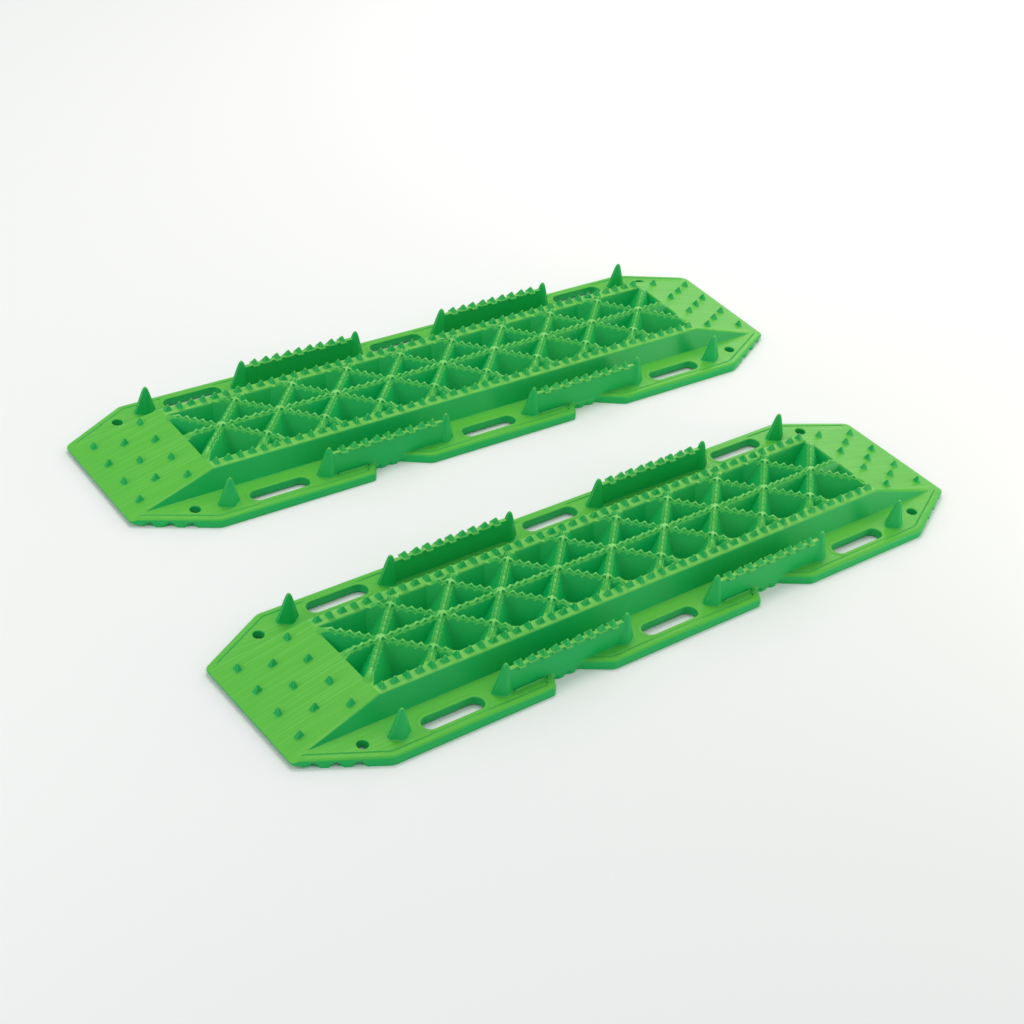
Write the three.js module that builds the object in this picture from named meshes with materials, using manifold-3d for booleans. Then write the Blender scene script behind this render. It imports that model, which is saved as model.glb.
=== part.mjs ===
// A pair of identical moulded plastic traction mats, laid on the ground to free a stuck wheel.
// Each mat is one open-bottomed moulding: a raised deck with a ramp at each end, a lattice of
// ribs with steep pits between two spiked rails, and a low flange with hand slots on each side.
// Millimetres. X runs along the mats, Y across them, Z up, and the ground is Z = 0.
import * as THREE from "three";
import { ConvexGeometry } from "three/addons/geometries/ConvexGeometry.js";
import { mergeVertices } from "three/addons/utils/BufferGeometryUtils.js";
import Module from "manifold-3d";

// ---- driving dimensions ---------------------------------------------------------------------
const LENGTH = 1219.2; // nose to nose
const WIDTH = 334; // flange to flange
const WALL = 4.5; // moulded wall
const PITCH = 101.2; // from one lattice node to the next
const NODES = 9; // lattice nodes on the centre line

const FLANGE_TOP = 14;
const NOSE_TOP = 9;
const RAIL_TOP = 47.5;
const CREST_TOP = 57; // top of a lattice rib
const TIP_TOP = 61; // tip of a big spike, the highest point

const DRAFT = 0.4; // how far the deck's side leans out per unit of height lost
const RAMP_X = 465; // where the ramp meets the level deck
const RAIL_OUT = 86.5; // outer edge of the rail's top
const RAIL_IN = 68; // inner edge of the rail's top
const FOOT_UNDERCUT = 25; // how far back from the nose the underside starts to rise
const BITE = 3; // how far joined shapes run into each other
const CLEAR = 5; // how far a cutter reaches past what it cuts

// A rib is a thin web on a ridge. The ridge's sides are the walls of the pits.
const WEB = { top: 1.75, foot: 2.2, footZ: 47 }; // half thickness, and where the web ends
const RIDGE = { half: 5.5, z: 50.5, slope: 0.52 }; // half width at a height, and its growth
const RIB_END = { x: 18, y: 14 }; // how far from the ramps and rails a rib starts to slope down
const PIT = { top: 48.5, floor: 6, wallSlope: 0.5, foot: 1.5 };
const STIFFENER = { ys: [-52, 0, 52], half: 2, foot: 3, stop: 14 };
const SPIKE_Y = 77; // row of small spikes along a rail

const CORNER = { x: 494, nose: 106, hole: [515.5, 125.5], bore: 16 };
const SLOT = { x: [-380.4, 0, 380.4], y: 137, length: 99, width: 24 };
const BIG_X = [464.4, 296.5, 85.2]; // the big spikes, both ways from the middle
const BIG_Y = 134;
const BIG = { foot: [21, 15.5], neck: [6.8, 5.4], tip: [3, 2.4], neckDrop: 5 }; // half diagonals
const SIDE_WALL = { from: 85.2, to: 296.5, top: 49.5, head: 3.2, foot: 5.5 };
// A notch in the flange beside each side wall: distances from the wall's middle, then its depth.
const NOTCH = { start: -38, floor: [-24, 26], end: 66, depth: 24 };
const RIM = { groove: 10, shoulder: 4, grooveWidth: 2, grooveDepth: 1.2 };
const FLUTE = { radius: 13, sink: 4.5, start: 12, pitch: 30 };

// The small spikes: base, height, how many on a rail and each way from the middle of a side wall.
const SMALL = { long: 13, short: 8.5, rise: 10, perRail: 46, perWall: 4 };
const RAMP_ROWS = [
  { x: 579, ys: [-75, -25, 25, 75] },
  { x: 540.5, ys: [-50, 0, 50] },
  { x: 502, ys: [-76, -25.5, 25.5, 76] },
];

const SPACING = { x: -54, y: 520.5, turn: 2.2 }; // the front mat from the rear one, and its turn

// ---- helpers --------------------------------------------------------------------------------
const wasm = await Module();
wasm.setup();

function solid(geometry) {
  geometry.deleteAttribute("normal");
  geometry.deleteAttribute("uv");
  const merged = mergeVertices(geometry, 1e-4);
  return new wasm.Manifold(
    new wasm.Mesh({
      numProp: 3,
      vertProperties: merged.attributes.position.array,
      triVerts: new Uint32Array(merged.index.array),
    }),
  );
}

const v3 = (x, y, z) => new THREE.Vector3(x, y, z);
const hull = (points) => solid(new ConvexGeometry(points));
const unionOf = (solids) => solids.reduce((sum, s) => sum.add(s));

// Four points of a rectangle at one height.
const ring = (x, y, z) => [v3(x, y, z), v3(-x, y, z), v3(-x, -y, z), v3(x, -y, z)];

// A flat outline pushed up from z0 to z1.
function prism(outline, z0, z1) {
  const g = new THREE.ExtrudeGeometry(new THREE.Shape(outline), {
    depth: z1 - z0,
    bevelEnabled: false,
  });
  return solid(g.translate(0, 0, z0));
}

const rod = (x, y, radius, z0, z1, segments = 20) =>
  solid(
    new THREE.CylinderGeometry(radius, radius, z1 - z0, segments)
      .rotateX(Math.PI / 2)
      .translate(x, y, (z0 + z1) / 2),
  );

// Every side feature is made once and turned half a turn for the other side.
const bothWays = (s) => s.add(s.rotate([0, 0, 180]));

// ---- deck: ramps, rails and well ------------------------------------------------------------
const rampSlope = (RAIL_TOP - NOSE_TOP) / (LENGTH / 2 - RAMP_X);
const rampZ = (x) => NOSE_TOP + rampSlope * (LENGTH / 2 - Math.abs(x));
const deckSide = (z) => RAIL_OUT + DRAFT * (RAIL_TOP - z);

// The deck as a solid block; a drop makes the smaller block that hollows it from below.
function deckBlock(drop) {
  const noseX = LENGTH / 2 - 2 * drop;
  const noseZ = rampZ(noseX) - drop;
  const low = drop ? -1 : 0;
  const side = (z) => deckSide(z) - 1.1 * drop;
  return hull([
    ...ring(RAMP_X, side(RAIL_TOP), RAIL_TOP - drop),
    ...ring(noseX, side(noseZ), noseZ),
    ...ring(noseX - (drop ? 0 : 2 * CLEAR), side(low), low),
  ]);
}

// Stiffeners under each ramp, which carry the lattice's lines on to the nose.
function stiffener(y) {
  const end = LENGTH / 2 - STIFFENER.stop;
  const column = (x, top) =>
    [-1, 1].flatMap((s) => [
      v3(x, y + s * STIFFENER.half, STIFFENER.foot),
      v3(x, y + s * STIFFENER.half, top - WALL / 2),
    ]);
  return hull([...column(RAMP_X + 1, RAIL_TOP), ...column(end, rampZ(end))]);
}
const stiffeners = bothWays(unionOf(STIFFENER.ys.map(stiffener)));

// ---- lattice --------------------------------------------------------------------------------
const ridgeHalf = (z) => RIDGE.half + RIDGE.slope * (RIDGE.z - z);

// One rib from point a to point b: the ridge's upper part with the web on it.
function rib(a, b) {
  const length = Math.hypot(b[0] - a[0], b[1] - a[1]);
  const bar = (levels) =>
    hull(
      levels.flatMap(([half, z]) =>
        [0, length].flatMap((along) => [v3(along, half, z), v3(along, -half, z)]),
      ),
    );
  const web = bar([[WEB.top, CREST_TOP], [WEB.foot, WEB.footZ]]);
  const ridge = bar([PIT.top, RAIL_TOP - BITE].map((z) => [ridgeHalf(z), z]));
  const turn = (Math.atan2(b[1] - a[1], b[0] - a[0]) * 180) / Math.PI;
  return web.add(ridge).rotate([0, 0, turn]).translate([a[0], a[1], 0]);
}

const reach = RAIL_IN + BITE + 1; // the ribs run a little way into the rails
const nodeX = Array.from({ length: NODES }, (_, i) => (i - (NODES - 1) / 2) * PITCH);
const ribs = [rib([-RAMP_X - BITE, 0], [RAMP_X + BITE, 0])];
for (const x of nodeX) {
  ribs.push(rib([x - reach, -reach], [x + reach, reach]));
  ribs.push(rib([x - reach, reach], [x + reach, -reach]));
}
// Near the rails and ramps the ribs slope down to the deck's top.
const ribLimit = hull([
  ...ring(RAMP_X + BITE, RAIL_IN + BITE, RAIL_TOP - BITE),
  ...ring(RAMP_X + BITE, RAIL_IN + BITE, RAIL_TOP - 0.3),
  ...ring(RAMP_X - RIB_END.x, RAIL_IN - RIB_END.y, CREST_TOP),
]);
const lattice = unionOf(ribs).intersect(ribLimit);

// The corners of the space inside some planes, each {n, c} with n·p <= c, as a solid.
function inside(planes) {
  const corners = [];
  planes.forEach((p, i) =>
    planes.slice(i + 1).forEach((q, j) =>
      planes.slice(i + j + 2).forEach((r) => {
        const volume = p.n.dot(v3(0, 0, 0).crossVectors(q.n, r.n));
        if (Math.abs(volume) < 1e-6) return;
        const corner = v3(0, 0, 0)
          .addScaledVector(v3(0, 0, 0).crossVectors(q.n, r.n), p.c)
          .addScaledVector(v3(0, 0, 0).crossVectors(r.n, p.n), q.c)
          .addScaledVector(v3(0, 0, 0).crossVectors(p.n, q.n), r.c)
          .divideScalar(volume);
        if (planes.every(({ n, c }) => n.dot(corner) <= c + 1e-6)) corners.push(corner);
      }),
    ),
  );
  return hull(corners);
}

// One side of a pit: the ridge of the rib through (x, y), or a plain wall whose top is there. The
// outward direction is (dx, dy), and "in" is how far from (x, y) the side lies at the ground.
const side = (dx, dy, x, y, slope, inAtGround) => ({ dx, dy, x, y, slope, in: inAtGround });
const ridgeSide = (dx, dy, x, y) => side(dx, dy, x, y, RIDGE.slope, ridgeHalf(0));
const wallSide = (dx, dy, x, y) => side(dx, dy, x, y, PIT.wallSlope, PIT.wallSlope * RAIL_TOP);

// A pit from its sides. A grown pit is larger all round by the moulding's wall.
function pit(sides, grow) {
  const planes = sides.map(({ dx, dy, x, y, slope, in: inAtGround }) => {
    const size = Math.hypot(dx, dy);
    return { n: v3(dx / size, dy / size, -slope), c: (dx * x + dy * y) / size - inAtGround + grow };
  });
  planes.push({ n: v3(0, 0, 1), c: grow ? RAIL_TOP - WALL / 2 : PIT.top });
  planes.push({ n: v3(0, 0, -1), c: grow ? -PIT.foot : -PIT.floor });
  return inside(planes);
}

// The pits on the far side of the middle rib. The near side is the same after half a turn.
function pits(grow) {
  const middleSide = ridgeSide(0, -1, 0, 0);
  const made = [];
  nodeX.forEach((x, i) => {
    const rail = wallSide(0, 1, 0, RAIL_IN);
    // Above a node: between its two ribs and the rail, cut off by the next ribs or a ramp.
    const left = i ? ridgeSide(-1, 1, x - PITCH, 0) : wallSide(-1, 0, -RAMP_X, 0);
    const right = i < NODES - 1 ? ridgeSide(1, 1, x + PITCH, 0) : wallSide(1, 0, RAMP_X, 0);
    made.push(pit([ridgeSide(1, -1, x, 0), ridgeSide(-1, -1, x, 0), rail, left, right], grow));
    // Between this node, the next one and the ribs' crossing.
    if (i < NODES - 1) {
      made.push(pit([middleSide, ridgeSide(-1, 1, x, 0), ridgeSide(1, 1, x + PITCH, 0)], grow));
    }
  });
  const end = nodeX[NODES - 1];
  made.push(pit([middleSide, ridgeSide(-1, 1, end, 0), wallSide(1, 0, RAMP_X, 0)], grow));
  made.push(pit([middleSide, ridgeSide(1, 1, -end, 0), wallSide(-1, 0, -RAMP_X, 0)], grow));
  return bothWays(unionOf(made));
}

// ---- flange ---------------------------------------------------------------------------------
const middle = (SIDE_WALL.from + SIDE_WALL.to) / 2;

// The near side's edge from the left nose to the right one, moved in by an inset.
function sideEdge(inset) {
  const y = -(WIDTH / 2 - inset);
  const floor = -(WIDTH / 2 - NOTCH.depth - inset);
  const along = inset * 0.27; // keeps the slanted corner edge the same distance in
  const points = [[-LENGTH / 2, -(CORNER.nose - inset)], [-CORNER.x + along, y]];
  for (const x of [-middle, middle]) {
    points.push(
      [x + NOTCH.start - inset * 0.6, y],
      [x + NOTCH.floor[0] - inset * 0.6, floor],
      [x + NOTCH.floor[1] + along, floor],
      [x + NOTCH.end + along, y],
    );
  }
  points.push([CORNER.x - along, y], [LENGTH / 2, -(CORNER.nose - inset)]);
  return points;
}

const outline = (inset) =>
  [...sideEdge(inset), ...sideEdge(inset).map(([x, y]) => [-x, -y])].map(
    ([x, y]) => new THREE.Vector2(x, y),
  );

function slotShape(x, y, grow) {
  const half = (SLOT.length - SLOT.width) / 2;
  const r = SLOT.width / 2 + grow;
  const path = new THREE.Path();
  path.absarc(x + half, y, r, -Math.PI / 2, Math.PI / 2);
  path.absarc(x - half, y, r, Math.PI / 2, (3 * Math.PI) / 2);
  return path.getPoints(8);
}

// Every slot and hole at one width, as a block from z0 to z1.
const openings = (grow, z0, z1) =>
  unionOf(
    [-1, 1].flatMap((side) => [
      ...SLOT.x.map((x) => prism(slotShape(x, side * SLOT.y, grow), z0, z1)),
      ...[-1, 1].map((end) =>
        rod(end * CORNER.hole[0], side * CORNER.hole[1], CORNER.bore / 2 + grow, z0, z1),
      ),
    ]),
  );

const shoulderZ = FLANGE_TOP - RIM.shoulder;
const plateFoot = FLANGE_TOP - WALL;
const slab = prism(outline(0), 0, shoulderZ)
  .add(prism(outline(RIM.shoulder / 2), 1, FLANGE_TOP - 1.5))
  .add(prism(outline(RIM.shoulder), 1, FLANGE_TOP));
// At each end the flange runs out into the ramp's slope, and its underside rises to a thin lip.
const endWedge = (points) => {
  const wedge = hull(points.flatMap(([x, z]) => [v3(x, WIDTH, z), v3(x, -WIDTH, z)]));
  return bothWays(wedge);
};
const past = LENGTH / 2 + CLEAR;
const flushX = LENGTH / 2 - (FLANGE_TOP - NOSE_TOP) / rampSlope; // where ramp and flange are level
const aboveRamp = endWedge([
  [flushX - CLEAR / rampSlope, FLANGE_TOP + CLEAR],
  [past, FLANGE_TOP + CLEAR],
  [past, NOSE_TOP - CLEAR * rampSlope],
]);
const underNose = endWedge([
  [LENGTH / 2 - FOOT_UNDERCUT, 0],
  [LENGTH / 2 - FOOT_UNDERCUT, -1],
  [past, -1],
  [past, NOSE_TOP - 1],
]);
const groove = prism(outline(RIM.groove), FLANGE_TOP - RIM.grooveDepth, FLANGE_TOP + 1).subtract(
  prism(outline(RIM.groove + RIM.grooveWidth), 0, FLANGE_TOP + 2),
);

// Upright flutes in the slanted corner edges.
const cornerRun = [LENGTH / 2 - CORNER.x, WIDTH / 2 - CORNER.nose];
const cornerLength = Math.hypot(...cornerRun);
const flutes = [0.5, 1.5, 2.5].flatMap((n) =>
  [-1, 1].map((end) => {
    const t = 1 - (n * FLUTE.pitch + FLUTE.start) / cornerLength;
    const out = (FLUTE.radius - FLUTE.sink) / cornerLength;
    const x = CORNER.x + t * cornerRun[0] + out * cornerRun[1];
    const y = -(WIDTH / 2 - t * cornerRun[1] + out * cornerRun[0]);
    return rod(end * x, y, FLUTE.radius, -1, shoulderZ - 2);
  }),
);

// ---- side walls and big spikes --------------------------------------------------------------
const shifted = (points, x, y) => points.map((p) => p.add(v3(x, y, 0)));

const wall = (x) =>
  hull([
    ...shifted(ring(middle - SIDE_WALL.from, SIDE_WALL.head, SIDE_WALL.top), x, -BIG_Y),
    ...shifted(ring(middle - SIDE_WALL.from, SIDE_WALL.foot, shoulderZ), x, -BIG_Y),
  ]);

const diamond = (x, y, z, [rx, ry]) => [
  v3(x + rx, y, z),
  v3(x, y + ry, z),
  v3(x - rx, y, z),
  v3(x, y - ry, z),
];

const bigSpike = (x) =>
  hull([
    ...diamond(x, -BIG_Y, shoulderZ, BIG.foot),
    ...diamond(x, -BIG_Y, TIP_TOP - BIG.neckDrop, BIG.neck),
    ...diamond(x, -BIG_Y, TIP_TOP, BIG.tip),
  ]);

// ---- small spikes ---------------------------------------------------------------------------
// Neighbours lie crosswise: one long way along the mat, the next long way across it.
function smallSpike(x, y, base, tip, crosswise) {
  const [a, b] = crosswise ? [SMALL.short, SMALL.long] : [SMALL.long, SMALL.short];
  return hull([...shifted(ring(a / 2, b / 2, base), x, y), v3(x, y, tip)]);
}

const spikes = [];
const step = PITCH / 5;
for (let i = 0; i < SMALL.perRail; i++) {
  const x = (i - (SMALL.perRail - 1) / 2) * step;
  spikes.push(smallSpike(x, -SPIKE_Y, RAIL_TOP - 1, RAIL_TOP + SMALL.rise, i % 2 === 0));
}
for (const x of [-middle, middle]) {
  for (let i = -SMALL.perWall; i <= SMALL.perWall; i++) {
    spikes.push(smallSpike(x + i * step, -BIG_Y, SIDE_WALL.top - 1, TIP_TOP, i % 2 !== 0));
  }
}
RAMP_ROWS.forEach(({ x, ys }, row) =>
  ys.forEach((y, i) =>
    spikes.push(smallSpike(x, y, rampZ(x) - 2, rampZ(x) + SMALL.rise - 2, (i + row) % 2 === 0)),
  ),
);

// ---- one mat, and the pair ------------------------------------------------------------------
const sidePieces = bothWays(
  unionOf([
    ...[-middle, middle].map(wall),
    ...[-1, 1].flatMap((end) => BIG_X.map((x) => bigSpike(end * x))),
  ]),
);
const pocketEnd = LENGTH / 2 - FOOT_UNDERCUT;
const pocket = prism(outline(WALL), -1, plateFoot)
  .intersect(hull([...ring(pocketEnd, WIDTH, -2), ...ring(pocketEnd, WIDTH, FLANGE_TOP)]))
  .subtract(deckBlock(0));
const collars = openings(4, 2, FLANGE_TOP - 1);
const hollow = deckBlock(WALL).subtract(pits(WALL)).subtract(stiffeners);
const mat = slab
  .subtract(groove)
  .subtract(aboveRamp)
  .subtract(pocket)
  .add(collars)
  .add(sidePieces)
  .add(deckBlock(0))
  .subtract(hollow)
  .add(lattice)
  .subtract(pits(0))
  .subtract(underNose)
  .subtract(openings(0, -1, FLANGE_TOP + 1))
  .subtract(bothWays(unionOf(flutes)))
  .add(bothWays(unionOf(spikes)));

function meshOf(shape, name) {
  const m = shape.getMesh();
  const g = new THREE.BufferGeometry();
  g.setAttribute("position", new THREE.BufferAttribute(new Float32Array(m.vertProperties), 3));
  g.setIndex(new THREE.BufferAttribute(new Uint32Array(m.triVerts), 1));
  const plastic = new THREE.MeshStandardMaterial({ color: 0x3dae49, roughness: 0.5, metalness: 0 });
  const mesh = new THREE.Mesh(g, plastic);
  mesh.name = name;
  return mesh;
}

const rear = meshOf(mat, "rear_mat");
const front = meshOf(mat, "front_mat");
front.position.set(SPACING.x, -SPACING.y, 0);
front.rotation.z = THREE.MathUtils.degToRad(SPACING.turn);

// The pair stands centred over the origin.
const group = new THREE.Group();
group.add(rear, front);
const centre = new THREE.Box3().setFromObject(group, true).getCenter(new THREE.Vector3());
group.position.set(-centre.x, -centre.y, 0);
export default group;
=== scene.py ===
"""Two moulded green traction mats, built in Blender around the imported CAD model."""
import itertools
import math

import bmesh
import bpy
from mathutils import Matrix, Vector


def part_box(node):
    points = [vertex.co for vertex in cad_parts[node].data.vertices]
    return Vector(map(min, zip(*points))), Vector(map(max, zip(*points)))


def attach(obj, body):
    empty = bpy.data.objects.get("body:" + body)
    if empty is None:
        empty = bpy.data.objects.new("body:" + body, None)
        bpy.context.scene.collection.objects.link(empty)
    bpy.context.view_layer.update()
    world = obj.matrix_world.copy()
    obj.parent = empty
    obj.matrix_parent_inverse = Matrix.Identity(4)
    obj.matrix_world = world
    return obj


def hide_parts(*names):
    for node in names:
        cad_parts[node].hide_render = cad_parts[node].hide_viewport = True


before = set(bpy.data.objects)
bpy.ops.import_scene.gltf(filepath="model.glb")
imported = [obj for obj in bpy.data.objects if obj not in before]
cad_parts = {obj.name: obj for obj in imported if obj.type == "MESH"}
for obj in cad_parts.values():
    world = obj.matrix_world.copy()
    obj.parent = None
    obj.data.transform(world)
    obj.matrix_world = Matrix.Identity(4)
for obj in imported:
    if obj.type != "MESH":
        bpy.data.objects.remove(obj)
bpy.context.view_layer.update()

MM = 0.001

# ---- where the mats lie -----------------------------------------------------------------------
FRONT_TURN = math.radians(2.2)


def middle_of(node):
    """A mat's own origin: it looks the same after half a turn, so it is the middle of its box."""
    low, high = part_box(node)
    return Vector(((low[0] + high[0]) / 2, (low[1] + high[1]) / 2, 0))


rear_place = middle_of("rear_mat")
front_place = middle_of("front_mat")

# ---- camera -----------------------------------------------------------------------------------
VIEW = {"azimuth": -39.91, "elevation": 35.85, "roll": 7.81, "lens": 70.3125, "sensor": 36.0}
VIEW_OFFSET = Vector((0.117037, -0.198103, 3.267416))  # from the rear mat, in the camera's axes


def add_camera():
    """The photo's view: azimuth from the front, elevation above the floor, then roll."""
    a, e = math.radians(VIEW["azimuth"]), math.radians(VIEW["elevation"])
    roll = math.radians(VIEW["roll"])
    back = Vector((math.sin(a) * math.cos(e), -math.cos(a) * math.cos(e), math.sin(e)))
    level = Vector((math.cos(a), math.sin(a), 0))
    upright = back.cross(level)
    right = level * math.cos(roll) + upright * math.sin(roll)
    up = upright * math.cos(roll) - level * math.sin(roll)
    turn = Matrix((right, up, back)).transposed()
    data = bpy.data.cameras.new("camera")
    data.lens = VIEW["lens"]
    data.sensor_width = VIEW["sensor"]
    data.clip_end = 50
    camera = bpy.data.objects.new("camera", data)
    camera.matrix_world = Matrix.Translation(rear_place + turn @ VIEW_OFFSET) @ turn.to_4x4()
    bpy.context.scene.collection.objects.link(camera)
    bpy.context.scene.camera = camera


add_camera()

# ---- the mat's dimensions, in millimetres -----------------------------------------------------
LENGTH, WIDTH = 1219.2, 334.0
WALL = 4.5
BEYOND = 5.0  # how far a cutter reaches past what it cuts
# Heights above the ground.
FLANGE_TOP, NOSE_TOP, RAIL_TOP, CREST_TOP, TIP_TOP = 14.0, 9.0, 47.5, 57.0, 61.0
# The deck: its ramps start at RAMP_X, and its rails run along the well between RAIL_IN and RAIL_OUT.
RAMP_X = 465.0
RAIL_OUT, RAIL_IN = 86.5, 68.0
DRAFT = 0.4  # how far the sides lean out for each millimetre down
DECK_ROUND = 3.2
FOOT_UNDERCUT = 25.0  # how far in from each end the mat's foot is lifted
STIFFENER_Y, STIFFENER_HALF, STIFFENER_LOW, STIFFENER_IN = (-52, 0, 52), 2.0, 3.0, 14.0
# The lattice: its crossings, the ridges under its ribs, and the pits between them.
PITCH = 101.2
NODES = 9
TOOTH = PITCH / 8
RIDGE_HALF, RIDGE_Z, RIDGE_SLOPE = 5.5, 50.5, 0.52
PIT_TOP, PIT_FLOOR, PIT_FOOT, WALL_SLOPE = 51.6, 6.0, 1.5, 0.5
# The flange: corners, notches measured from each side wall's middle, rim, slots and holes.
CORNER_X, CORNER_NOSE = 494.0, 106.0
NOTCH_START, NOTCH_FLOOR, NOTCH_END, NOTCH_DEPTH = -38.0, (-24.0, 26.0), 66.0, 24.0
SHOULDER = 7.0
GROOVE_IN, GROOVE_WIDTH, GROOVE_DEPTH = 10.0, 3.6, 1.4
HOLE_X, HOLE_Y, HOLE_BORE = 515.5, 125.5, 16.0
SLOT_X, SLOT_Y, SLOT_LENGTH, SLOT_WIDTH = (-380.4, 0.0, 380.4), 137.0, 99.0, 24.0
COLLAR = 1.2  # the height of the raised rims round the slots
POCKET_ROUND, TUBE_WALL = 1.5, 4.0
# Large spikes, and the side walls between pairs of them.
BIG_X, BIG_Y = (464.4, 296.5, 85.2), 134.0
WALL_FROM, WALL_TO, WALL_TOP = 85.2, 296.5, 49.5
WALL_MIDDLE = (WALL_FROM + WALL_TO) / 2
# Small spikes: how many, where, and how high.
SPIKE_Y, SPIKE_PITCH = 77.0, PITCH / 5
RAIL_SPIKES, WALL_SPIKES = 46, 9
RAMP_ROWS = ((579.0, (-75, -25, 25, 75)), (540.5, (-50, 0, 50)), (502.0, (-76, -25.5, 25.5, 76)))
RAIL_SPIKE, WALL_SPIKE, RAMP_SPIKE, RAMP_SPIKE_SIZE = 10.0, 9.0, 11.0, 0.9


# ---- solid-making helpers ---------------------------------------------------------------------
def as_object(bm):
    """A finished mesh as an object of its own, with its faces turned out."""
    bmesh.ops.recalc_face_normals(bm, faces=bm.faces)
    mesh = bpy.data.meshes.new("solid")
    bm.to_mesh(mesh)
    bm.free()
    obj = bpy.data.objects.new("solid", mesh)
    bpy.context.scene.collection.objects.link(obj)
    return obj


def round_edges(bm, radius, segments=3, choose=lambda edge: True, angle=18):
    """Rounds the solid's convex edges that are sharper than an angle."""
    edges = [e for e in bm.edges if e.is_convex and choose(e)
             and e.calc_face_angle(0) > math.radians(angle)]
    bmesh.ops.bevel(bm, geom=edges, offset=radius, segments=segments, profile=0.5,
                    affect="EDGES", clamp_overlap=True)


def hull(points, radius=0.0, segments=3, choose=lambda edge: True):
    """The convex solid round some points, with the chosen edges rounded."""
    bm = bmesh.new()
    for p in points:
        bm.verts.new(p)
    made = bmesh.ops.convex_hull(bm, input=bm.verts)
    spare = {v for v in made["geom_interior"] + made["geom_unused"] if isinstance(v, bmesh.types.BMVert)}
    bmesh.ops.delete(bm, geom=list(spare), context="VERTS")
    bmesh.ops.dissolve_limit(bm, angle_limit=math.radians(0.5), verts=bm.verts, edges=bm.edges)
    bmesh.ops.recalc_face_normals(bm, faces=bm.faces)
    if radius:
        round_edges(bm, radius, segments, choose)
    return as_object(bm)


def loft(rings):
    """A closed solid through rings that have the same number of points."""
    bm = bmesh.new()
    rows = [[bm.verts.new(p) for p in ring] for ring in rings]
    for low, high in zip(rows, rows[1:]):
        for i in range(len(low)):
            j = (i + 1) % len(low)
            bm.faces.new((low[i], low[j], high[j], high[i]))
    bm.faces.new(rows[0])
    bm.faces.new(rows[-1])
    return as_object(bm)


def prism(outline, z0, z1, radius=0.0, segments=3):
    """A flat outline pushed up from z0 to z1, with its upper edge rounded."""
    bm = bmesh.new()
    low = [bm.verts.new((x, y, z0)) for x, y in outline]
    high = [bm.verts.new((x, y, z1)) for x, y in outline]
    for i in range(len(low)):
        j = (i + 1) % len(low)
        bm.faces.new((low[i], low[j], high[j], high[i]))
    bm.faces.new(low)
    bm.faces.new(high)
    bmesh.ops.recalc_face_normals(bm, faces=bm.faces)
    if radius:
        round_edges(bm, radius, segments, lambda e: all(v.co.z > z1 - 1e-3 for v in e.verts))
    return as_object(bm)


def together(solids):
    """Solids that don't touch each other, as one object."""
    bm = bmesh.new()
    for s in solids:
        bm.from_mesh(s.data)
        bpy.data.objects.remove(s)
    return as_object(bm)


def turned(solid):
    """A copy that is turned half a turn about the mat's middle."""
    copy = bpy.data.objects.new("solid", solid.data.copy())
    copy.data.transform(Matrix.Rotation(math.pi, 4, "Z"))
    bpy.context.scene.collection.objects.link(copy)
    return copy


def both_ways(solids):
    """Solids of one side and the same turned half a turn for the other side."""
    one = together(solids)
    return together([one, turned(one)])


def combine(base, other, operation):
    """Joins, cuts or intersects two solids, and uses the second one up."""
    cut = base.modifiers.new("combine", "BOOLEAN")
    cut.operation = operation
    cut.solver = "MANIFOLD"
    cut.object = other
    graph = bpy.context.evaluated_depsgraph_get()
    mesh = bpy.data.meshes.new_from_object(base.evaluated_get(graph), depsgraph=graph)
    base.modifiers.clear()
    base.data = mesh
    bpy.data.objects.remove(other)
    return base


def add(base, other):
    return combine(base, other, "UNION")


def cut(base, other):
    return combine(base, other, "DIFFERENCE")


def ring(x, y, z):
    """The four corners of a level rectangle round the middle."""
    return [(x, y, z), (-x, y, z), (-x, -y, z), (x, -y, z)]


def softened(points, radius, steps=4):
    """An outline with every corner rounded by a curve, or cut straight with one step."""
    made = []
    count = len(points)
    for i, p in enumerate(points):
        p = Vector(p)
        before, after = Vector(points[i - 1]), Vector(points[(i + 1) % count])
        reach = min(radius, (before - p).length * 0.4, (after - p).length * 0.4)
        a = p + (before - p).normalized() * reach
        b = p + (after - p).normalized() * reach
        for k in range(steps + 1):
            t = k / steps
            made.append(a * (1 - t) ** 2 + p * 2 * t * (1 - t) + b * t ** 2)
    return [(q.x, q.y) for q in made]


def level(points, z):
    """Outline points at one height."""
    return [(x, y, z) for x, y in points]


# ---- deck: ramps, rails and well --------------------------------------------------------------
RAMP_SLOPE = (RAIL_TOP - NOSE_TOP) / (LENGTH / 2 - RAMP_X)


def ramp_z(x):
    """The height of a ramp's surface."""
    return NOSE_TOP + RAMP_SLOPE * (LENGTH / 2 - abs(x))


def deck_side(z):
    """How far out the deck's leaning side is at a height."""
    return RAIL_OUT + DRAFT * (RAIL_TOP - z)


def deck_block(drop, radius=0.0):
    """The raised deck as a solid block, or with a drop the block that hollows it."""
    nose_x = LENGTH / 2 - 2 * drop
    nose_z = ramp_z(nose_x) - drop
    side_in = 1.1 * drop  # the sides lean, so their wall is thicker when measured level
    # The block's foot is tucked in, inside the flange, and the hollow's cuts through the ground.
    low, foot_x = (-1.0, nose_x) if drop else (0.0, nose_x - 10)
    points = (ring(RAMP_X, deck_side(RAIL_TOP) - side_in, RAIL_TOP - drop)
              + ring(nose_x, deck_side(nose_z) - side_in, nose_z)
              + ring(foot_x, deck_side(low) - side_in, low))
    return hull(points, radius, choose=lambda e: min(v.co.z for v in e.verts) > 1)


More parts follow.
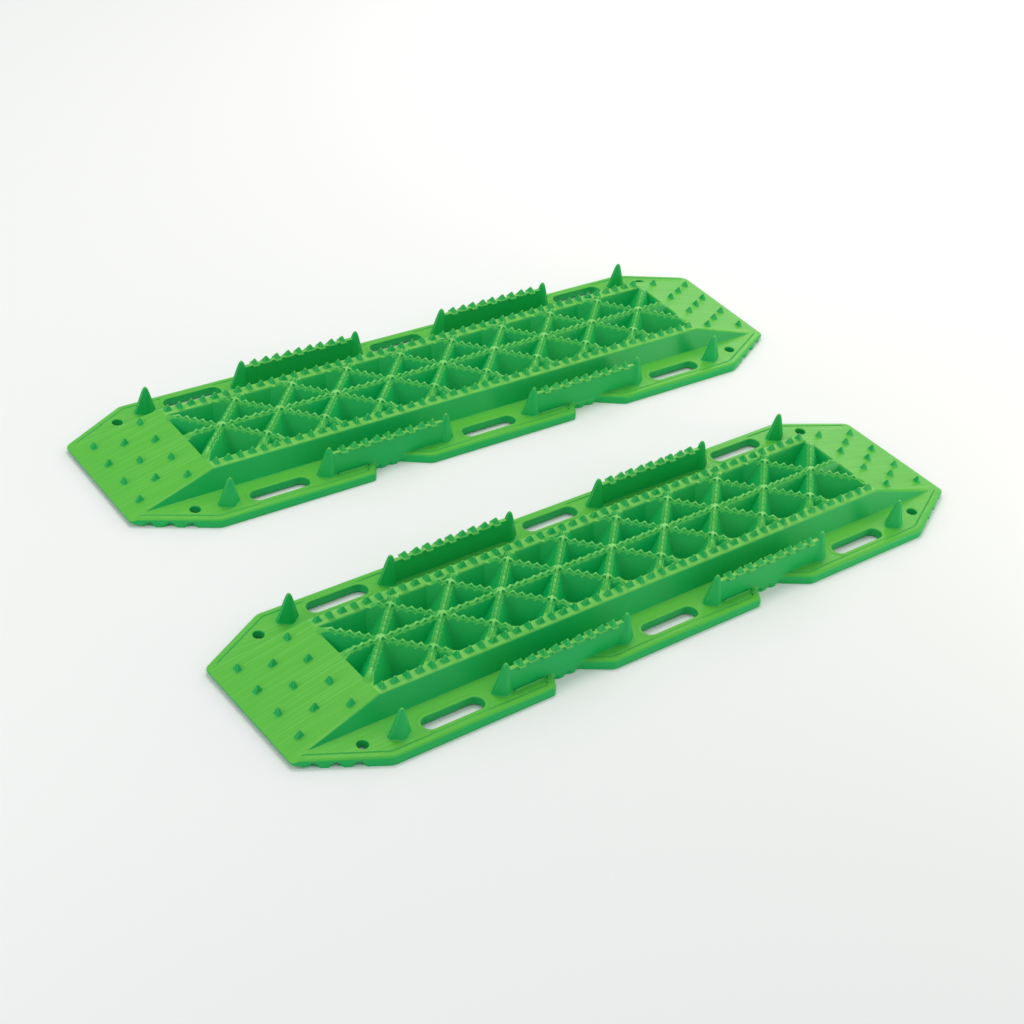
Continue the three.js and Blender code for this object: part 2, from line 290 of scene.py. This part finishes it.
def stiffener(y):
    """An upright plate that stays under a ramp when the deck is hollowed."""
    start, end = RAMP_X + 1, LENGTH / 2 - STIFFENER_IN
    side = ((start, STIFFENER_LOW), (start, RAIL_TOP - WALL / 2),
            (end, STIFFENER_LOW), (end, ramp_z(end) - WALL / 2))
    return hull([(x, y + s * STIFFENER_HALF, z) for s in (-1, 1) for x, z in side])


# ---- lattice ----------------------------------------------------------------------------------
RIB_STEP = TOOTH / 12
NODE_PAD = 4 * RIB_STEP  # half the level stretch where ribs cross
TOOTH_POINT = 0.93  # 1 makes the teeth sharp, and less rounds their tips and valleys
NODE_X = [(i - (NODES - 1) / 2) * PITCH for i in range(NODES)]
# Half of a rib's section from its foot up: half width, height, and the least depth below the crest.
RIB_FOOT = ((9.7, 43.0, 4.0), (7.6, 47.0, 2.6), (6.5, 49.1, 1.9), (5.5, 51.0, 1.6), (4.3, 52.0, 1.4),
            (3.2, 52.8, 1.2), (2.45, 53.8, 1.0))
RIB_CREST = ((2.1, 0.7), (1.95, 0.25), (1.5, 0.0))  # half width, and depth below the crest
SLANT_TEETH, MIDDLE_TEETH = 6.0, 4.6
# Near the rails and ramps a crest runs down from this height: from where, and how steeply.
RUN_DOWN_Z, SIDE_RUN_DOWN, END_RUN_DOWN = 56.0, (62.0, 1.05), (RAMP_X - 12, 0.65)


def ridge_half(z):
    """Half the thickness of the ridge under a rib at a height."""
    return RIDGE_HALF + RIDGE_SLOPE * (RIDGE_Z - z)


def crest(from_node, x, y, height):
    """The height of a rib's crest: teeth, level where ribs cross, and down at the rails and ramps."""
    z = CREST_TOP
    if from_node > NODE_PAD:
        wave = TOOTH_POINT * math.cos(2 * math.pi * (from_node - NODE_PAD) / TOOTH)
        z -= height / 2 * (1 - math.asin(wave) / math.asin(TOOTH_POINT))
    for off, (start, slope) in ((abs(y), SIDE_RUN_DOWN), (abs(x), END_RUN_DOWN)):
        z = min(z, RUN_DOWN_Z - (off - start) * slope)
    return z


def rib(x, slant, reach, node_gap, height):
    """A toothed web on a ridge through the node at x, reaching as far both ways."""
    along = Vector((math.cos(slant), math.sin(slant)))
    across = Vector((-along.y, along.x))
    steps = round(reach / RIB_STEP)
    rings = []
    for i in range(-steps, steps + 1):
        p = Vector((x, 0)) + along * i * RIB_STEP
        off = abs(i * RIB_STEP) % node_gap
        z = crest(min(off, node_gap - off), p.x, p.y, height)
        half = [(w, min(h, z - low)) for w, h, low in RIB_FOOT] + [(w, z - d) for w, d in RIB_CREST]
        profile = half + [(-w, h) for w, h in reversed(half)]
        rings.append([(p.x + across.x * w, p.y + across.y * w, h) for w, h in profile])
    return loft(rings)


def lattice():
    """The ribs that slant both ways and the one down the middle."""
    gap = PITCH / math.sqrt(2)
    falling, rising = (together([rib(x, slant, PITCH, gap, SLANT_TEETH) for x in NODE_X])
                       for slant in (-math.pi / 4, math.pi / 4))
    return add(add(falling, rising), rib(0, 0, RAMP_X + 3, PITCH, MIDDLE_TEETH))


def inside(planes):
    """The space inside planes, each a normal n and a size c with n.p <= c, as a solid."""
    parallel, touching, apart = 1e-6, 1e-3, 1e-2
    corners = []
    for p, q, r in itertools.combinations(planes, 3):
        rows = Matrix((p[0], q[0], r[0]))
        if abs(rows.determinant()) < parallel:
            continue
        corner = rows.inverted() @ Vector((p[1], q[1], r[1]))
        if all(Vector(n).dot(corner) <= c + touching for n, c in planes):
            if all((corner - other).length > apart for other in corners):
                corners.append(corner)
    return hull(corners)


def ridge_side(dx, dy, x, y):
    """A pit's side on the rib through (x, y), facing out along (dx, dy)."""
    return dx, dy, x, y, RIDGE_SLOPE, ridge_half(0)


def pit(sides, grow, low, high):
    """A pit from its sides. A grown pit is larger all round."""
    planes = [((0, 0, 1), high), ((0, 0, -1), -low)]
    for dx, dy, x, y, slope, depth in sides:
        size = math.hypot(dx, dy)
        nx, ny = dx / size, dy / size
        planes.append(((nx, ny, -slope), nx * x + ny * y - depth + grow))
    return inside(planes)


def pits(grow, low, high, slope=WALL_SLOPE, lip=0.0):
    """The pits on the far side of the middle rib, and the same turned for the near side.

    The slope is that of the walls under the rails and ramps, and a lip moves their tops out.
    """
    def wall(dx, dy):
        return dx, dy, dx * (RAMP_X + lip), dy * (RAIL_IN + lip), slope, slope * RAIL_TOP

    middle = ridge_side(0, -1, 0, 0)
    made = []
    for i, x in enumerate(NODE_X):
        last = i == NODES - 1
        left = ridge_side(-1, 1, x - PITCH, 0) if i else wall(-1, 0)
        right = wall(1, 0) if last else ridge_side(1, 1, x + PITCH, 0)
        made.append([ridge_side(1, -1, x, 0), ridge_side(-1, -1, x, 0), wall(0, 1), left, right])
        if not last:
            made.append([middle, ridge_side(-1, 1, x, 0), ridge_side(1, 1, x + PITCH, 0)])
            made.append([ridge_side(1, -1, x, 0), ridge_side(-1, -1, x + PITCH, 0), wall(0, 1)])
    end = NODE_X[-1]
    made.append([middle, ridge_side(-1, 1, end, 0), wall(1, 0)])
    made.append([middle, ridge_side(1, 1, -end, 0), wall(-1, 0)])
    return both_ways([pit(sides, grow, low, high) for sides in made])


# The rounded edge round the well, as planes of growing slope, each a little further out.
WELL_LIPS = ((0.75, 0.9), (1.1, 1.5), (1.9, 2.4), (4.2, 3.8))  # slope, and how far out


# ---- flange -----------------------------------------------------------------------------------
# How far a corner moves along the edge when the edge moves in: at gentle corners and steep ones.
GENTLE_MITRE, STEEP_MITRE = 0.27, 0.6
NOTCH_KINK = (6.0, 9.0)  # along and in from a notch's start, where its start turns a little


def side_edge(inset):
    """The near side's edge from the left nose to the right one, moved in by an inset."""
    y = -(WIDTH / 2 - inset)
    floor = y + NOTCH_DEPTH
    along = inset * GENTLE_MITRE
    points = [(-LENGTH / 2, -(CORNER_NOSE - inset)), (-CORNER_X + along, y)]
    for x in (-WALL_MIDDLE, WALL_MIDDLE):
        back = x - inset * STEEP_MITRE
        points += [(back + NOTCH_START, y), (back + NOTCH_START + NOTCH_KINK[0], y + NOTCH_KINK[1]),
                   (back + NOTCH_FLOOR[0], floor),
                   (x + NOTCH_FLOOR[1] + along, floor), (x + NOTCH_END + along, y)]
    return points + [(CORNER_X - along, y), (LENGTH / 2, -(CORNER_NOSE - inset))]


def outline(inset, radius=5.0):
    """The flange's outline, moved in by an inset, with soft corners."""
    near = side_edge(inset)
    return softened(near + [(-x, -y) for x, y in near], radius)


def slot_outline(x, y, grow, steps=12):
    """A slot with round ends, wider all round when grown."""
    half = (SLOT_LENGTH - SLOT_WIDTH) / 2
    r = SLOT_WIDTH / 2 + grow
    right = [(x + half + r * math.sin(math.pi * i / steps), y - r * math.cos(math.pi * i / steps))
             for i in range(steps + 1)]
    return right + [(2 * x - px, 2 * y - py) for px, py in right]


def round_outline(x, y, r, steps=28):
    """A circle."""
    return [(x + r * math.cos(2 * math.pi * i / steps), y + r * math.sin(2 * math.pi * i / steps))
            for i in range(steps)]


def slot_collars():
    """Low raised rims round the slots."""
    foot, top = FLANGE_TOP - 1, FLANGE_TOP + COLLAR
    return both_ways([loft([level(slot_outline(x, -SLOT_Y, g), z) for g, z in (
        (9.0, foot), (7.0, FLANGE_TOP), (5.6, top - 0.3), (4.8, top))]) for x in SLOT_X])


def raised_line(a, b):
    """A low ridge on the flange from one point to another."""
    across = Vector((a[1] - b[1], b[0] - a[0])).normalized()
    section = ((2.2, FLANGE_TOP - 0.5), (0.7, FLANGE_TOP + 1.2))  # half width and height
    return hull([(x + s * across.x * w, y + s * across.y * w, z)
                 for x, y in (a, b) for s in (-1, 1) for w, z in section])


def foot_lines():
    """A fine raised line along the foot of each side wall, with a short one across at the notch."""
    off_wall, off_rim, past_spike, before_notch = 9, 1, 14, 3
    wall_foot, rim = -(BIG_Y + off_wall), -(WIDTH / 2 - GROOVE_IN - GROOVE_WIDTH - off_rim)
    made = []
    for x in (-WALL_MIDDLE, WALL_MIDDLE):
        start, end = x + WALL_FROM - WALL_MIDDLE + past_spike, x + NOTCH_START - before_notch
        made.append(add(raised_line((start, wall_foot), (end, wall_foot)),
                        raised_line((end, wall_foot), (end, rim))))
    return both_ways(made)


def openings(grow, z0, z1):
    """The slots and holes as solids from z0 to z1, wider all round when grown."""
    made = []
    for side in (-1, 1):
        made += [prism(slot_outline(x, side * SLOT_Y, grow), z0, z1) for x in SLOT_X]
        made += [prism(round_outline(e * HOLE_X, side * HOLE_Y, HOLE_BORE / 2 + grow), z0, z1)
                 for e in (-1, 1)]
    return together(made)


# The rounded upper edge of a slot or hole: how far out, and the height.
LIP = ((-0.2, FLANGE_TOP - 2.2), (0.25, FLANGE_TOP - 1.1), (0.9, FLANGE_TOP - 0.4), (2.2, FLANGE_TOP + 0.1))


def opening_lips():
    """Cutters that round the upper edges of the slots and holes."""
    made = []
    for side in (-1, 1):
        for x in SLOT_X:
            made.append(loft([[(*p, z + COLLAR) for p in slot_outline(x, side * SLOT_Y, g)] for g, z in LIP]))
        for e in (-1, 1):
            made.append(loft([[(*p, z) for p in round_outline(e * HOLE_X, side * HOLE_Y, HOLE_BORE / 2 + g)]
                              for g, z in LIP]))
    return together(made)


def flute(x, y, radius, sink, top):
    """An upright scoop in an edge that is deepest at the ground and fades out at its top."""
    levels = [(-1.0, 0.0), (2.0, 0.04), (top * 0.6, 0.4), (top * 0.85, 0.75), (top, 1.1)]
    return loft([[(*p, z) for p in round_outline(x, y, radius - sink * fade, 36)] for z, fade in levels])


def flutes():
    """The scoops at the corners, three each, and on the notches' floors."""
    run = Vector((LENGTH / 2 - CORNER_X, WIDTH / 2 - CORNER_NOSE))
    length = run.length
    radius, sink, pitch, end_gap = 13.0, 4.8, 30.0, 12.0
    made = []
    for n in (0.5, 1.5, 2.5):
        t = 1 - (n * pitch + end_gap) / length
        out = (radius - sink) / length
        x = CORNER_X + t * run.x + out * run.y
        y = -(WIDTH / 2 - t * run.y + out * run.x)
        made += [flute(e * x, y, radius, sink, FLANGE_TOP - 2) for e in (-1, 1)]
    radius, sink, pitch = 9.0, 2.6, 20.0
    y = -(WIDTH / 2 - NOTCH_DEPTH + radius - sink)
    for wall in (-WALL_MIDDLE, WALL_MIDDLE):
        x = wall + sum(NOTCH_FLOOR) / 2
        made += [flute(x + n * pitch, y, radius, sink, FLANGE_TOP - 2) for n in (-1, 0, 1)]
    return both_ways(made)


def groove():
    """A shallow V along the rim."""
    low, middle = FLANGE_TOP - GROOVE_DEPTH, GROOVE_IN + GROOVE_WIDTH / 2
    above, spare, overlap = 0.3, 0.5, 0.1
    outer = loft([level(outline(middle), low), level(outline(GROOVE_IN - above), FLANGE_TOP + above)])
    inner = loft([level(outline(middle + overlap), low - overlap),
                  level(outline(GROOVE_IN + GROOVE_WIDTH + spare), FLANGE_TOP + spare)])
    return cut(outer, inner)


# ---- side walls and spikes --------------------------------------------------------------------
def side_wall(x):
    """The wall between two large spikes."""
    half = WALL_MIDDLE - WALL_FROM
    section = ((3.2, WALL_TOP), (5.5, FLANGE_TOP), (7.5, FLANGE_TOP - 4))  # half width and height
    return hull([(x + sx * half, -BIG_Y + sy * w, z)
                 for sx in (-1, 1) for sy in (-1, 1) for w, z in section],
                1.0, choose=lambda e: min(v.co.z for v in e.verts) > WALL_TOP - 1)


def diamond(x, y, long, wide, corner):
    """A large spike's section: a diamond with its corners cut off."""
    return softened([(x + long, y), (x, y + wide), (x - long, y), (x, y - wide)], corner, 1)


def big_spike(x):
    """A four-sided spike with blunt edges. Those at the ends are a little shorter."""
    tip = TIP_TOP - (2.0 if abs(x) == max(BIG_X) else 0.0)
    # Height, half lengths along and across, and how much is cut off each corner.
    levels = ((FLANGE_TOP - 3, 24.5, 18.5, 4), (FLANGE_TOP, 22.5, 16.8, 4), (FLANGE_TOP + 0.8, 21.0, 15.6, 4),
              (FLANGE_TOP + 2.5, 20.1, 14.9, 4), (tip - 13, 9.8, 7.6, 3.4), (tip - 6, 7.0, 5.6, 3),
              (tip - 3, 5.3, 4.4, 2.4), (tip - 1, 3.3, 2.8, 1.4), (tip, 1.4, 1.2, 0.6))
    return loft([level(diamond(x, -BIG_Y, a, b, r), z) for z, a, b, r in levels])


def rectangle(x, y, long, wide, corner):
    """A small spike's section, from its half widths."""
    return softened([(x + long, y + wide), (x - long, y + wide), (x - long, y - wide), (x + long, y - wide)],
                    corner, 2)


def small_spike(x, y, base, tip, crosswise, slope=0.0, size=1.0):
    """A wedge with a narrow tip, whose foot follows a slope. Neighbours lie crosswise to each other."""
    height = tip - base
    # Height above the base, the two half widths, and the corners' radius.
    levels = ((-2.0, 8.4, 6.0, 2.2), (0.0, 7.9, 5.5, 2.0), (0.6, 6.9, 4.6, 1.4), (1.5, 6.1, 3.9, 1.0),
              (0.84 * height, 2.1, 1.4, 0.55), (0.95 * height, 1.4, 0.85, 0.4), (height, 0.6, 0.35, 0.15))
    rings = []
    for z, a, b, r in levels:
        a, b, r = (size * half for half in ((b, a, r) if crosswise else (a, b, r)))
        lean = slope * (1 - max(z, 0) / height)
        rings.append([(px, py, base + z - lean * (px - x)) for px, py in rectangle(x, y, a, b, r)])
    return loft(rings)


def spikes():
    """The small spikes on the rails, the side walls and the ramps."""
    made = [small_spike((i - (RAIL_SPIKES - 1) / 2) * SPIKE_PITCH, -SPIKE_Y, RAIL_TOP, RAIL_TOP + RAIL_SPIKE,
                        i % 2 == 0) for i in range(RAIL_SPIKES)]
    beside = WALL_SPIKES // 2
    for x in (-WALL_MIDDLE, WALL_MIDDLE):
        made += [small_spike(x + i * SPIKE_PITCH, -BIG_Y, WALL_TOP, WALL_TOP + WALL_SPIKE, i % 2 == 0)
                 for i in range(-beside, beside + 1)]
    for row, (x, ys) in enumerate(RAMP_ROWS):
        made += [small_spike(x, y, ramp_z(x), ramp_z(x) + RAMP_SPIKE, (i + row) % 2 == 0, RAMP_SLOPE,
                             RAMP_SPIKE_SIZE) for i, y in enumerate(ys)]
    return both_ways(made)


# ---- one mat ----------------------------------------------------------------------------------
def end_wedge(points):
    """A cutter across one end and the same across the other, from a few (x, z) points."""
    return both_ways([hull([(x, y, z) for x, z in points for y in (-WIDTH, WIDTH)])])


def mat_solid():
    """One mat as a single closed solid, in millimetres round its own middle."""
    plate_foot = FLANGE_TOP - WALL - 0.5
    pocket_end = LENGTH / 2 - FOOT_UNDERCUT
    past = LENGTH / 2 + BEYOND
    flush_x = LENGTH / 2 - (FLANGE_TOP - NOSE_TOP) / RAMP_SLOPE
    mat = prism(outline(0), 0, FLANGE_TOP, SHOULDER, 6)
    mat = cut(mat, groove())
    mat = cut(mat, end_wedge([(flush_x - BEYOND / RAMP_SLOPE, FLANGE_TOP + BEYOND),
                              (past, FLANGE_TOP + BEYOND), (past, NOSE_TOP - BEYOND * RAMP_SLOPE)]))
    pocket = combine(prism(outline(WALL), -1, plate_foot, POCKET_ROUND),
                     hull(ring(pocket_end, WIDTH, -2) + ring(pocket_end, WIDTH, FLANGE_TOP)), "INTERSECT")
    mat = cut(mat, cut(pocket, deck_block(0)))
    mat = add(mat, openings(TUBE_WALL, 2, FLANGE_TOP - 1))
    mat = add(mat, both_ways([side_wall(-WALL_MIDDLE), side_wall(WALL_MIDDLE)]))
    mat = add(mat, deck_block(0, DECK_ROUND))
    hollow = cut(deck_block(WALL), pits(WALL, PIT_FOOT, RAIL_TOP - WALL / 2))
    mat = cut(mat, cut(hollow, both_ways([stiffener(y) for y in STIFFENER_Y])))
    mat = add(mat, lattice())
    mat = cut(mat, pits(0, PIT_FLOOR, PIT_TOP))
    shrink = 0.4  # keeps these cutters off the ribs' sides
    for slope, lip in WELL_LIPS:
        mat = cut(mat, pits(-shrink, RAIL_TOP - 4, RAIL_TOP + 0.5, slope, lip + shrink))
    mat = cut(mat, end_wedge([(pocket_end, 0), (pocket_end, -1), (past, -1), (past, NOSE_TOP - 1)]))
    mat = add(mat, both_ways([big_spike(e * x) for e in (-1, 1) for x in BIG_X]))
    mat = add(mat, slot_collars())
    mat = add(mat, foot_lines())
    mat = cut(mat, openings(0, -1, FLANGE_TOP + 2))
    mat = cut(mat, opening_lips())
    mat = cut(mat, flutes())
    return add(mat, spikes())


def finished_mesh(solid):
    """The moulding in metres, smooth over its rounded edges and sharp at its creases."""
    mesh = solid.data
    mesh.transform(Matrix.Scale(MM, 4))
    for polygon in mesh.polygons:
        polygon.use_smooth = True
    mesh.set_sharp_from_angle(angle=math.radians(38))
    weights = solid.modifiers.new("weights", "WEIGHTED_NORMAL")
    weights.keep_sharp = True
    weights.weight = 60
    graph = bpy.context.evaluated_depsgraph_get()
    made = bpy.data.meshes.new_from_object(solid.evaluated_get(graph), depsgraph=graph)
    bpy.data.objects.remove(solid)
    return made


# ---- materials --------------------------------------------------------------------------------
# Painted light and shade: the lit green is painted on open upper faces, and the green after it is painted
# shade on steep faces and pits.
LIT_GREEN = (0.11, 0.52, 0.05, 1)
PAINTED_SHADE_GREEN = (0.0, 0.44, 0.105, 1)
# A pale green that is painted as highlights on open edges and the rails, and is also the colour of the real
# drawn lines down the ramps.
HIGHLIGHT_AND_LINE_GREEN = (0.33, 0.76, 0.19, 1)
# A pale green painted as highlights on the tips of the ribs' teeth.
CREST_HIGHLIGHT_GREEN = (0.26, 0.74, 0.20, 1)


class Nodes:
    """Short ways to add nodes to a material."""

    def __init__(self, tree):
        self.nodes, self.links = tree.nodes, tree.links
        self.place = self.nodes.new("ShaderNodeTexCoord").outputs["Object"]
        self.normal = self.nodes.new("ShaderNodeNewGeometry").outputs["Normal"]

    def feed(self, value, target):
        if isinstance(value, bpy.types.NodeSocket):
            self.links.new(value, target)
        else:
            target.default_value = value

    def maths(self, operation, a, b=0.0, clamp=False):
        made = self.nodes.new("ShaderNodeMath")
        made.operation = operation
        made.use_clamp = clamp
        self.feed(a, made.inputs[0])
        self.feed(b, made.inputs[1])
        return made.outputs["Value"]

    def product(self, *values):
        made = values[0]
        for value in values[1:]:
            made = self.maths("MULTIPLY", made, value)
        return made

    def noise(self, scale, detail, stretch=(1, 1, 1)):
        mapping = self.nodes.new("ShaderNodeMapping")
        mapping.inputs["Scale"].default_value = stretch
        self.links.new(self.place, mapping.inputs["Vector"])
        made = self.nodes.new("ShaderNodeTexNoise")
        made.inputs["Scale"].default_value = scale
        made.inputs["Detail"].default_value = detail
        self.links.new(mapping.outputs["Vector"], made.inputs["Vector"])
        return made.outputs["Fac"]

    def blend(self, factor, low, high):
        made = self.nodes.new("ShaderNodeMix")
        made.data_type = "RGBA"
        self.feed(factor, made.inputs["Factor"])
        self.feed(low, made.inputs["A"])
        self.feed(high, made.inputs["B"])
        return made.outputs["Result"]

    def between(self, value, low, high):
        """0 at the low value, 1 at the high one, and a straight line from one to the other."""
        made = self.nodes.new("ShaderNodeMapRange")
        self.links.new(value, made.inputs["Value"])
        made.inputs["From Min"].default_value = low
        made.inputs["From Max"].default_value = high
        return made.outputs["Result"]

    def split(self, vector):
        made = self.nodes.new("ShaderNodeSeparateXYZ")
        self.links.new(vector, made.inputs["Vector"])
        return tuple(made.outputs)


def sheltered(n):
    """How open the surface is to the sky round it: 0 deep in a corner, 1 in the open."""
    shelter = n.nodes.new("ShaderNodeAmbientOcclusion")
    shelter.samples = 6
    shelter.inputs["Distance"].default_value = 0.03
    return shelter.outputs["AO"]


def rounded_normal(n):
    """The normal as if every edge had a small radius."""
    soft = n.nodes.new("ShaderNodeBevel")
    soft.samples = 4
    soft.inputs["Radius"].default_value = 1.3 * MM
    return soft.outputs["Normal"]


def edge_highlight_mask(n, soft, openness):
    """1 on open edges, where the rounded normal and the true one differ; there a highlight is painted."""
    bend = n.nodes.new("ShaderNodeVectorMath")
    bend.operation = "DOT_PRODUCT"
    n.links.new(soft, bend.inputs[0])
    n.links.new(n.normal, bend.inputs[1])
    edge = n.maths("SUBTRACT", 1.0, n.between(bend.outputs["Value"], 0.86, 0.997))
    return n.product(edge, n.between(openness, 0.5, 0.75))


def crest_highlight_mask(n, x, y, z):
    """1 on the tips of the ribs' teeth, where a highlight is painted, from how far a point is from the
    nearest rib's middle.
    """
    gap = PITCH * MM / math.sqrt(2)
    from_rib = n.maths("ABSOLUTE", y)
    for operation in ("ADD", "SUBTRACT"):
        across = n.maths("DIVIDE", n.maths(operation, x, y), math.sqrt(2))
        beside = n.maths("PINGPONG", n.maths("ADD", across, gap * NODES), gap / 2)
        from_rib = n.maths("MINIMUM", from_rib, beside)
    return n.product(n.maths("LESS_THAN", from_rib, 1.7 * MM), n.maths("GREATER_THAN", z, 50 * MM),
                     n.maths("LESS_THAN", n.maths("ABSOLUTE", y), RAIL_IN * MM),
                     n.between(z, 50.5 * MM, 55 * MM))


def rail_highlight_mask(n, x, y, z, upright):
    """1 on the rails' upper faces and the rounded edges beside them, where a highlight is painted."""
    return n.product(n.maths("GREATER_THAN", z, 45 * MM), n.between(upright, 0.6, 0.9),
                     n.maths("GREATER_THAN", n.maths("ABSOLUTE", y), (RAIL_IN - 2) * MM),
                     n.maths("LESS_THAN", n.maths("ABSOLUTE", x), RAMP_X * MM))


def green_plastic():
    """Moulded green plastic, with light, shade and highlights painted into its colour."""
    material = bpy.data.materials.new("green_plastic")
    material.use_nodes = True
    shader = material.node_tree.nodes["Principled BSDF"]
    n = Nodes(material.node_tree)
    x, y, z = n.split(n.place)
    upright = n.split(n.normal)[2]
    openness, soft = sheltered(n), rounded_normal(n)

    # Painted light and shade: open upper faces are painted a lighter, yellower green, and steep faces and
    # pits a deeper, bluer green as painted shade, from the normal and the occlusion.
    facing_up = n.maths("ADD", n.product(n.between(upright, 0.5, 0.97), 0.88), 0.12)
    painted_lit_share = n.maths("MULTIPLY", facing_up, n.between(openness, 0.25, 0.85), clamp=True)
    cloud = n.product(n.maths("SUBTRACT", n.noise(7, 4), 0.5), 0.3)
    colour = n.blend(n.maths("ADD", painted_lit_share, cloud, clamp=True), PAINTED_SHADE_GREEN, LIT_GREEN)
    # Painted highlights: open edges, the rails and the tips of the ribs' teeth are painted paler, in patches.
    patchy = n.maths("ADD", n.product(n.between(n.noise(60, 3), 0.4, 0.65), 0.45), 0.4)
    colour = n.blend(n.product(edge_highlight_mask(n, soft, openness), patchy), colour, HIGHLIGHT_AND_LINE_GREEN)
    # Painted highlight on the tips of the ribs' teeth.
    colour = n.blend(n.product(crest_highlight_mask(n, x, y, z), patchy), colour, CREST_HIGHLIGHT_GREEN)
    # Painted highlight on the rails' upper faces and rounded edges, at about half strength.
    colour = n.blend(n.product(rail_highlight_mask(n, x, y, z, upright), patchy, 0.55), colour, HIGHLIGHT_AND_LINE_GREEN)
    # Fine drawn lines run down the ramps.
    on_ramp = n.product(n.maths("GREATER_THAN", n.maths("ABSOLUTE", x), RAMP_X * MM),
                        n.between(upright, 0.9, 0.95))
    drawn = n.product(n.maths("SUBTRACT", n.noise(1, 3, (5, 420, 5)), 0.5), on_ramp)
    colour = n.blend(n.maths("MULTIPLY", drawn, 1.2, clamp=True), colour, HIGHLIGHT_AND_LINE_GREEN)
    n.links.new(colour, shader.inputs["Base Color"])

    rough = n.maths("ADD", n.between(n.noise(35, 4), -1.9, 2.9), n.product(drawn, 0.3))
    n.links.new(n.product(rough, 0.72), shader.inputs["Roughness"])

    grain = n.maths("ADD", n.product(n.noise(700, 3), 0.5), n.product(drawn, 3.0))
    bump = n.nodes.new("ShaderNodeBump")
    bump.inputs["Strength"].default_value = 0.16
    bump.inputs["Distance"].default_value = 0.0004
    n.links.new(grain, bump.inputs["Height"])
    n.links.new(soft, bump.inputs["Normal"])
    n.links.new(bump.outputs["Normal"], shader.inputs["Normal"])
    shader.inputs["Specular IOR Level"].default_value = 0.22
    return material


# ---- the two mats -----------------------------------------------------------------------------
mat_mesh = finished_mesh(mat_solid())
mat_mesh.materials.clear()
mat_mesh.materials.append(green_plastic())


def lay_mat(body, node, place, turn):
    """One mat where its body lies, shown instead of its CAD node."""
    mesh = mat_mesh.copy()
    mesh.name = body + "_moulding"
    mat = bpy.data.objects.new(body + "_moulding", mesh)
    mat.matrix_world = Matrix.Translation(place) @ Matrix.Rotation(turn, 4, "Z")
    bpy.context.scene.collection.objects.link(mat)
    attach(mat, body)
    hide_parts(node)


lay_mat("rear", "rear_mat", rear_place, 0.0)
lay_mat("front", "front_mat", front_place, FRONT_TURN)


# ---- floor and light --------------------------------------------------------------------------
def add_floor():
    bm = bmesh.new()
    bmesh.ops.create_grid(bm, x_segments=1, y_segments=1, size=12)
    mesh = bpy.data.meshes.new("floor")
    bm.to_mesh(mesh)
    bm.free()
    floor = bpy.data.objects.new("floor", mesh)
    material = bpy.data.materials.new("pale_floor")
    material.use_nodes = True
    shader = material.node_tree.nodes["Principled BSDF"]
    shader.inputs["Base Color"].default_value = (0.95, 0.93, 0.94, 1)
    shader.inputs["Roughness"].default_value = 0.9
    mesh.materials.append(material)
    bpy.context.scene.collection.objects.link(floor)


def add_lamp(name, place, radius, power, colour):
    """A soft round lamp."""
    data = bpy.data.lights.new(name, "POINT")
    data.shadow_soft_size = radius
    data.energy = power
    data.color = colour
    light = bpy.data.objects.new(name, data)
    light.location = place
    light.visible_camera = False
    bpy.context.scene.collection.objects.link(light)


def add_world(colour, strength):
    world = bpy.data.worlds.new("world")
    bpy.context.scene.world = world
    world.use_nodes = True
    background = world.node_tree.nodes["Background"]
    background.inputs["Color"].default_value = colour
    background.inputs["Strength"].default_value = strength


add_floor()
add_lamp("overhead", (0.3, 1.0, 3.2), 0.7, 112, (1.0, 0.97, 0.92))
add_lamp("left_lamp", (-2.2, 0.2, 1.3), 0.4, 22, (1.0, 0.98, 0.9))
add_lamp("right_lamp", (1.8, 1.0, 0.95), 0.5, 30, (1.0, 0.93, 0.8))
add_lamp("low_lamp", (1.35, -1.05, 0.3), 0.3, 16, (1.0, 0.95, 0.7))
add_world((0.93, 1.0, 1.0, 1), 0.66)
bpy.context.scene.view_settings.view_transform = "Standard"
